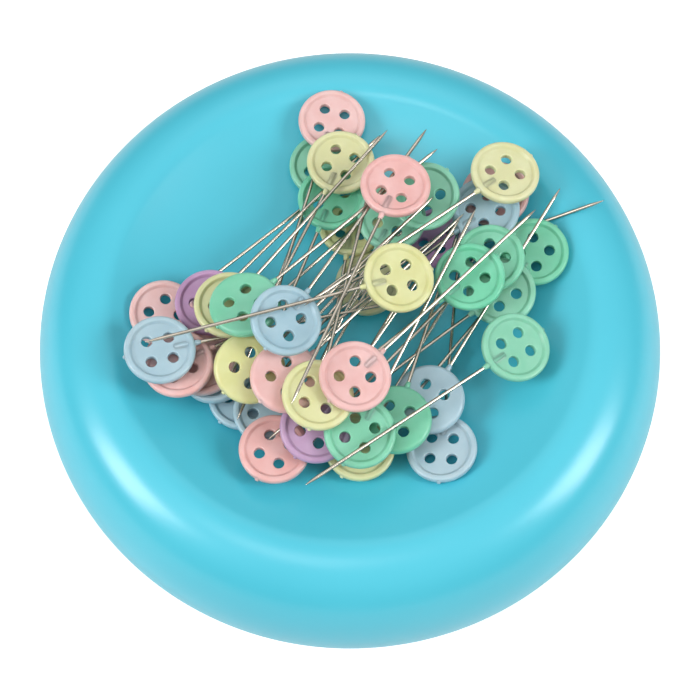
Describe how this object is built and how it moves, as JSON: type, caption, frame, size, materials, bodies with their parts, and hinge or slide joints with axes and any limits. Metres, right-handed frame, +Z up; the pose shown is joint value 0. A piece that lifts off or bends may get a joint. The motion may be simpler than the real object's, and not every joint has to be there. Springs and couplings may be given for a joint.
{
  "type": "magnetic pin bowl",
  "caption": "Round puffed turquoise bowl with a magnet sealed under its shallow saucer, holding a heap of long steel pins with flat pastel button heads.",
  "frame": {"origin": "middle of the footprint, on the plane that the rubber feet stand on", "axes": "+Z up out of the saucer, -Y towards the viewer of the picture, +X to the right"},
  "size_m": [0.112, 0.112, 0.0463],
  "materials": {
    "bowl_plastic": "turquoise, high gloss",
    "cover_plastic": "turquoise, satin",
    "screw_steel": "zinc-plated",
    "foot_rubber": "clear grey, soft",
    "magnet": "dark ceramic ferrite",
    "keeper_steel": "plated",
    "foam": "open-cell foam",
    "pink_plastic": "translucent pastel, glossy",
    "yellow_plastic": "translucent pastel, glossy",
    "green_plastic": "translucent pastel, glossy",
    "blue_plastic": "translucent pastel, glossy",
    "lilac_plastic": "translucent pastel, glossy",
    "pin_steel": "polished nickel"
  },
  "bodies": {
    "root": {"top_shell": "bowl_plastic", "base_cover": "cover_plastic", "cover_screws": "screw_steel", "rubber_feet": "foot_rubber", "ring_magnet": "magnet", "keeper_plate": "keeper_steel", "foam_pad": "foam"},
    "heap": {"heap_heads_pink": "pink_plastic", "heap_heads_yellow": "yellow_plastic", "heap_heads_green": "green_plastic", "heap_heads_blue": "blue_plastic", "heap_heads_lilac": "lilac_plastic", "heap_shanks": "pin_steel"},
    "pin_green_e": {"pin_green_e_head": "green_plastic", "pin_green_e_shank": "pin_steel"},
    "pin_yellow_d": {"pin_yellow_d_head": "yellow_plastic", "pin_yellow_d_shank": "pin_steel"},
    "pin_yellow_h": {"pin_yellow_h_head": "yellow_plastic", "pin_yellow_h_shank": "pin_steel"},
    "pin_pink_h": {"pin_pink_h_head": "pink_plastic", "pin_pink_h_shank": "pin_steel"},
    "pin_pink_i": {"pin_pink_i_head": "pink_plastic", "pin_pink_i_shank": "pin_steel"}
  },
  "joints": [
    {"name": "heap_lift", "type": "slide", "parent": "root", "child": "heap", "axis": [0, 0, 1], "range_m": [0, 0.04]},
    {"name": "pin_green_e_lift", "type": "slide", "parent": "heap", "child": "pin_green_e", "axis": [0, 0, 1], "range_m": [0, 0.03]},
    {"name": "pin_yellow_d_lift", "type": "slide", "parent": "heap", "child": "pin_yellow_d", "axis": [0, 0, 1], "range_m": [0, 0.03]},
    {"name": "pin_yellow_h_lift", "type": "slide", "parent": "pin_yellow_d", "child": "pin_yellow_h", "axis": [0, 0, 1], "range_m": [0, 0.03]},
    {"name": "pin_pink_h_lift", "type": "slide", "parent": "pin_yellow_h", "child": "pin_pink_h", "axis": [0, 0, 1], "range_m": [0, 0.03]},
    {"name": "pin_pink_i_lift", "type": "slide", "parent": "heap", "child": "pin_pink_i", "axis": [0, 0, 1], "range_m": [0, 0.03]}
  ]
}
